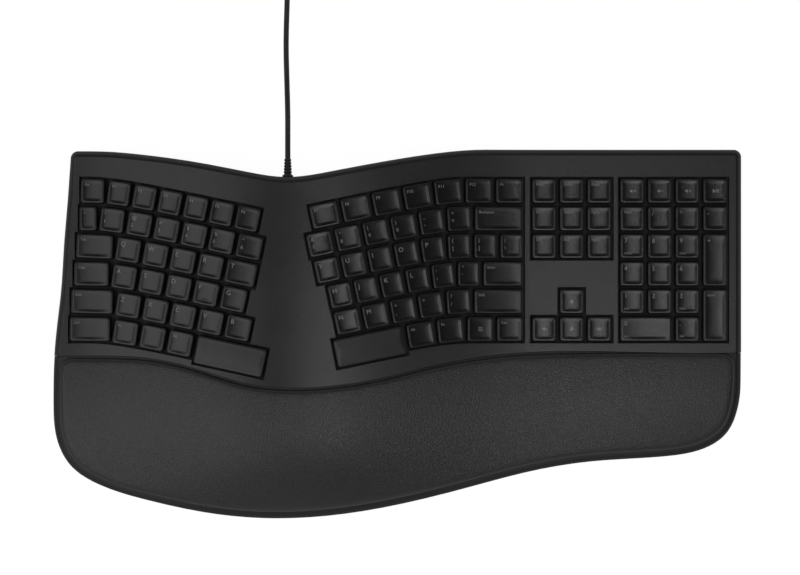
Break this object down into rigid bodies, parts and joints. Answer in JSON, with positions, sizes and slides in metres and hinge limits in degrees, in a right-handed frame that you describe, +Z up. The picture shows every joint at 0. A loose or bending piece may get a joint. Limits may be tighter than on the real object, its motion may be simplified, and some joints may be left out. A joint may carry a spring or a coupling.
{
  "type": "ergonomic keyboard",
  "caption": "Split ergonomic keyboard with a gull-wing deck, number pad, padded palm rest and wired plug.",
  "frame": {"origin": "middle of the housing's footprint, on the desk plane under the rubber feet", "axes": "+X to the right along the key rows, +Y away from the user, +Z up out of the desk"},
  "size_m": [0.4599, 0.4265, 0.0394],
  "materials": {
    "keycap_black": "fine matt texture",
    "deck_black": "satin with a fine grain",
    "underside_black": "matt",
    "cushion_cover": "soft coated fabric, matt",
    "inner_black": "moulded",
    "dome_rubber": "translucent silicone",
    "membrane_film": "clear film with printed tracks",
    "plate_steel": "zinc plated",
    "wire_steel": "drawn wire",
    "screw_steel": "black zinc",
    "foot_rubber": "matt rubber",
    "board_green": "solder mask over glass fibre",
    "chip_black": "moulded",
    "cable_black": "smooth jacket",
    "plug_black": "moulded",
    "plug_metal": "nickel plated"
  },
  "bodies": {
    "housing": {"bottom_case": "underside_black", "top_case": "deck_black", "palm_rest_base": "deck_black", "palm_cushion": "cushion_cover", "key_carrier_left": "inner_black", "key_carrier_right": "inner_black", "rubber_domes_left": "dome_rubber", "rubber_domes_right": "dome_rubber", "membrane_left": "membrane_film", "membrane_right": "membrane_film", "backing_plate_left": "plate_steel", "backing_plate_right": "plate_steel", "cable_strain_relief": "cable_black", "controller_board": "board_green", "board_parts": "chip_black", "screws": "screw_steel", "rubber_feet": "foot_rubber", "usb_plug_body": "plug_black", "usb_plug_shell": "plug_metal", "cable_run": "cable_black", "cable_coil": "cable_black", "cable_end": "cable_black", "cable_tie": "plug_black"},
    "escape_key": {"escape_key": "keycap_black"},
    "function_keys_left": {"function_keys_left": "keycap_black"},
    "number_keys_left": {"number_keys_left": "keycap_black"},
    "tab_key": {"tab_key": "keycap_black"},
    "upper_letter_keys_left": {"upper_letter_keys_left": "keycap_black"},
    "caps_lock_key": {"caps_lock_key": "keycap_black"},
    "home_letter_keys_left": {"home_letter_keys_left": "keycap_black"},
    "shift_key_left": {"shift_key_left": "keycap_black"},
    "lower_letter_keys_left": {"lower_letter_keys_left": "keycap_black"},
    "modifier_keys_left": {"modifier_keys_left": "keycap_black"},
    "space_bar_left": {"space_bar_left": "keycap_black", "space_bar_wire_left": "wire_steel"},
    "function_keys_right": {"function_keys_right": "keycap_black"},
    "number_keys_right": {"number_keys_right": "keycap_black"},
    "backspace_key": {"backspace_key": "keycap_black"},
    "upper_letter_keys_right": {"upper_letter_keys_right": "keycap_black"},
    "home_letter_keys_right": {"home_letter_keys_right": "keycap_black"},
    "enter_key": {"enter_key": "keycap_black"},
    "lower_letter_keys_right": {"lower_letter_keys_right": "keycap_black"},
    "shift_key_right": {"shift_key_right": "keycap_black"},
    "space_bar_right": {"space_bar_right": "keycap_black", "space_bar_wire_right": "wire_steel"},
    "modifier_keys_right": {"modifier_keys_right": "keycap_black"},
    "system_keys": {"system_keys": "keycap_black"},
    "editing_keys": {"editing_keys": "keycap_black"},
    "arrow_up_key": {"arrow_up_key": "keycap_black"},
    "arrow_left_key": {"arrow_left_key": "keycap_black"},
    "arrow_down_key": {"arrow_down_key": "keycap_black"},
    "arrow_right_key": {"arrow_right_key": "keycap_black"},
    "media_keys": {"media_keys": "keycap_black"},
    "pad_operator_keys": {"pad_operator_keys": "keycap_black"},
    "pad_number_keys": {"pad_number_keys": "keycap_black"},
    "pad_zero_key": {"pad_zero_key": "keycap_black"},
    "pad_plus_key": {"pad_plus_key": "keycap_black"},
    "pad_enter_key": {"pad_enter_key": "keycap_black"},
    "tilt_leg_left": {"tilt_leg_left": "underside_black"},
    "tilt_leg_right": {"tilt_leg_right": "underside_black"}
  },
  "joints": [
    {"name": "press_escape_key", "type": "slide", "parent": "housing", "child": "escape_key", "axis": [0.082, 0, -0.9966], "range_m": [0, 0.0024], "stiffness_N_per_m": 400, "springref_m": -0.0008, "deforming": ["rubber_domes_left"]},
    {"name": "press_function_keys_left", "type": "slide", "parent": "housing", "child": "function_keys_left", "axis": [0.1593, 0, -0.9872], "range_m": [0, 0.0024], "stiffness_N_per_m": 400, "springref_m": -0.0008, "deforming": ["rubber_domes_left"]},
    {"name": "press_number_keys_left", "type": "slide", "parent": "housing", "child": "number_keys_left", "axis": [0.1604, 0, -0.987], "range_m": [0, 0.0024], "stiffness_N_per_m": 400, "springref_m": -0.0008, "deforming": ["rubber_domes_left"]},
    {"name": "press_tab_key", "type": "slide", "parent": "housing", "child": "tab_key", "axis": [0.0861, 0, -0.9963], "range_m": [0, 0.0024], "stiffness_N_per_m": 400, "springref_m": -0.0008, "deforming": ["rubber_domes_left"]},
    {"name": "press_upper_letter_keys_left", "type": "slide", "parent": "housing", "child": "upper_letter_keys_left", "axis": [0.1591, 0, -0.9873], "range_m": [0, 0.0024], "stiffness_N_per_m": 400, "springref_m": -0.0008, "deforming": ["rubber_domes_left"]},
    {"name": "press_caps_lock_key", "type": "slide", "parent": "housing", "child": "caps_lock_key", "axis": [0.0798, 0, -0.9968], "range_m": [0, 0.0024], "stiffness_N_per_m": 400, "springref_m": -0.0008, "deforming": ["rubber_domes_left"]},
    {"name": "press_home_letter_keys_left", "type": "slide", "parent": "housing", "child": "home_letter_keys_left", "axis": [0.1602, 0, -0.9871], "range_m": [0, 0.0024], "stiffness_N_per_m": 400, "springref_m": -0.0008, "deforming": ["rubber_domes_left"]},
    {"name": "press_shift_key_left", "type": "slide", "parent": "housing", "child": "shift_key_left", "axis": [0.0809, 0, -0.9967], "range_m": [0, 0.0024], "stiffness_N_per_m": 400, "springref_m": -0.0008, "deforming": ["rubber_domes_left"]},
    {"name": "press_lower_letter_keys_left", "type": "slide", "parent": "housing", "child": "lower_letter_keys_left", "axis": [0.1592, 0, -0.9872], "range_m": [0, 0.0024], "stiffness_N_per_m": 400, "springref_m": -0.0008, "deforming": ["rubber_domes_left"]},
    {"name": "press_modifier_keys_left", "type": "slide", "parent": "housing", "child": "modifier_keys_left", "axis": [0.1457, 0, -0.9893], "range_m": [0, 0.0024], "stiffness_N_per_m": 400, "springref_m": -0.0008, "deforming": ["rubber_domes_left"]},
    {"name": "press_space_bar_left", "type": "slide", "parent": "housing", "child": "space_bar_left", "axis": [0.1198, 0, -0.9928], "range_m": [0, 0.0024], "stiffness_N_per_m": 400, "springref_m": -0.0008, "deforming": ["rubber_domes_left"]},
    {"name": "press_function_keys_right", "type": "slide", "parent": "housing", "child": "function_keys_right", "axis": [-0.1483, 0, -0.9889], "range_m": [0, 0.0024], "stiffness_N_per_m": 400, "springref_m": -0.0008, "deforming": ["rubber_domes_right"]},
    {"name": "press_number_keys_right", "type": "slide", "parent": "housing", "child": "number_keys_right", "axis": [-0.1418, 0, -0.9899], "range_m": [0, 0.0024], "stiffness_N_per_m": 400, "springref_m": -0.0008, "deforming": ["rubber_domes_right"]},
    {"name": "press_backspace_key", "type": "slide", "parent": "housing", "child": "backspace_key", "axis": [-0.0907, 0, -0.9959], "range_m": [0, 0.0024], "stiffness_N_per_m": 400, "springref_m": -0.0008, "deforming": ["rubber_domes_right"]},
    {"name": "press_upper_letter_keys_right", "type": "slide", "parent": "housing", "child": "upper_letter_keys_right", "axis": [-0.1483, 0, -0.9889], "range_m": [0, 0.0024], "stiffness_N_per_m": 400, "springref_m": -0.0008, "deforming": ["rubber_domes_right"]},
    {"name": "press_home_letter_keys_right", "type": "slide", "parent": "housing", "child": "home_letter_keys_right", "axis": [-0.147, 0, -0.9891], "range_m": [0, 0.0024], "stiffness_N_per_m": 400, "springref_m": -0.0008, "deforming": ["rubber_domes_right"]},
    {"name": "press_enter_key", "type": "slide", "parent": "housing", "child": "enter_key", "axis": [-0.0845, 0, -0.9964], "range_m": [0, 0.0024], "stiffness_N_per_m": 400, "springref_m": -0.0008, "deforming": ["rubber_domes_right"]},
    {"name": "press_lower_letter_keys_right", "type": "slide", "parent": "housing", "child": "lower_letter_keys_right", "axis": [-0.1466, 0, -0.9892], "range_m": [0, 0.0024], "stiffness_N_per_m": 400, "springref_m": -0.0008, "deforming": ["rubber_domes_right"]},
    {"name": "press_shift_key_right", "type": "slide", "parent": "housing", "child": "shift_key_right", "axis": [-0.0911, 0, -0.9958], "range_m": [0, 0.0024], "stiffness_N_per_m": 400, "springref_m": -0.0008, "deforming": ["rubber_domes_right"]},
    {"name": "press_space_bar_right", "type": "slide", "parent": "housing", "child": "space_bar_right", "axis": [-0.1288, 0, -0.9917], "range_m": [0, 0.0024], "stiffness_N_per_m": 400, "springref_m": -0.0008, "deforming": ["rubber_domes_right"]},
    {"name": "press_modifier_keys_right", "type": "slide", "parent": "housing", "child": "modifier_keys_right", "axis": [-0.1286, 0, -0.9917], "range_m": [0, 0.0024], "stiffness_N_per_m": 400, "springref_m": -0.0008, "deforming": ["rubber_domes_right"]},
    {"name": "press_system_keys", "type": "slide", "parent": "housing", "child": "system_keys", "axis": [0, 0, -1], "range_m": [0, 0.0024], "stiffness_N_per_m": 400, "springref_m": -0.0008, "deforming": ["rubber_domes_right"]},
    {"name": "press_editing_keys", "type": "slide", "parent": "housing", "child": "editing_keys", "axis": [0, 0, -1], "range_m": [0, 0.0024], "stiffness_N_per_m": 400, "springref_m": -0.0008, "deforming": ["rubber_domes_right"]},
    {"name": "press_arrow_up_key", "type": "slide", "parent": "housing", "child": "arrow_up_key", "axis": [0, 0, -1], "range_m": [0, 0.0024], "stiffness_N_per_m": 400, "springref_m": -0.0008, "deforming": ["rubber_domes_right"]},
    {"name": "press_arrow_left_key", "type": "slide", "parent": "housing", "child": "arrow_left_key", "axis": [-0.0065, 0, -1], "range_m": [0, 0.0024], "stiffness_N_per_m": 400, "springref_m": -0.0008, "deforming": ["rubber_domes_right"]},
    {"name": "press_arrow_down_key", "type": "slide", "parent": "housing", "child": "arrow_down_key", "axis": [0, 0, -1], "range_m": [0, 0.0024], "stiffness_N_per_m": 400, "springref_m": -0.0008, "deforming": ["rubber_domes_right"]},
    {"name": "press_arrow_right_key", "type": "slide", "parent": "housing", "child": "arrow_right_key", "axis": [0, 0, -1], "range_m": [0, 0.0024], "stiffness_N_per_m": 400, "springref_m": -0.0008, "deforming": ["rubber_domes_right"]},
    {"name": "press_media_keys", "type": "slide", "parent": "housing", "child": "media_keys", "axis": [0, 0, -1], "range_m": [0, 0.0024], "stiffness_N_per_m": 400, "springref_m": -0.0008, "deforming": ["rubber_domes_right"]},
    {"name": "press_pad_operator_keys", "type": "slide", "parent": "housing", "child": "pad_operator_keys", "axis": [0, 0, -1], "range_m": [0, 0.0024], "stiffness_N_per_m": 400, "springref_m": -0.0008, "deforming": ["rubber_domes_right"]},
    {"name": "press_pad_number_keys", "type": "slide", "parent": "housing", "child": "pad_number_keys", "axis": [0, 0, -1], "range_m": [0, 0.0024], "stiffness_N_per_m": 400, "springref_m": -0.0008, "deforming": ["rubber_domes_right"]},
    {"name": "press_pad_zero_key", "type": "slide", "parent": "housing", "child": "pad_zero_key", "axis": [0, 0, -1], "range_m": [0, 0.0024], "stiffness_N_per_m": 400, "springref_m": -0.0008, "deforming": ["rubber_domes_right"]},
    {"name": "press_pad_plus_key", "type": "slide", "parent": "housing", "child": "pad_plus_key", "axis": [0, 0, -1], "range_m": [0, 0.0024], "stiffness_N_per_m": 400, "springref_m": -0.0008, "deforming": ["rubber_domes_right"]},
    {"name": "press_pad_enter_key", "type": "slide", "parent": "housing", "child": "pad_enter_key", "axis": [0, 0, -1], "range_m": [0, 0.0024], "stiffness_N_per_m": 400, "springref_m": -0.0008, "deforming": ["rubber_domes_right"]},
    {"name": "flip_tilt_leg_left", "type": "hinge", "parent": "housing", "child": "tilt_leg_left", "pos_m": [-0.15, -0.072, 0.0042], "axis": [-1, 0, 0], "range_deg": [0, 95]},
    {"name": "flip_tilt_leg_right", "type": "hinge", "parent": "housing", "child": "tilt_leg_right", "pos_m": [0.15, -0.072, 0.0042], "axis": [-1, 0, 0], "range_deg": [0, 95]}
  ]
}
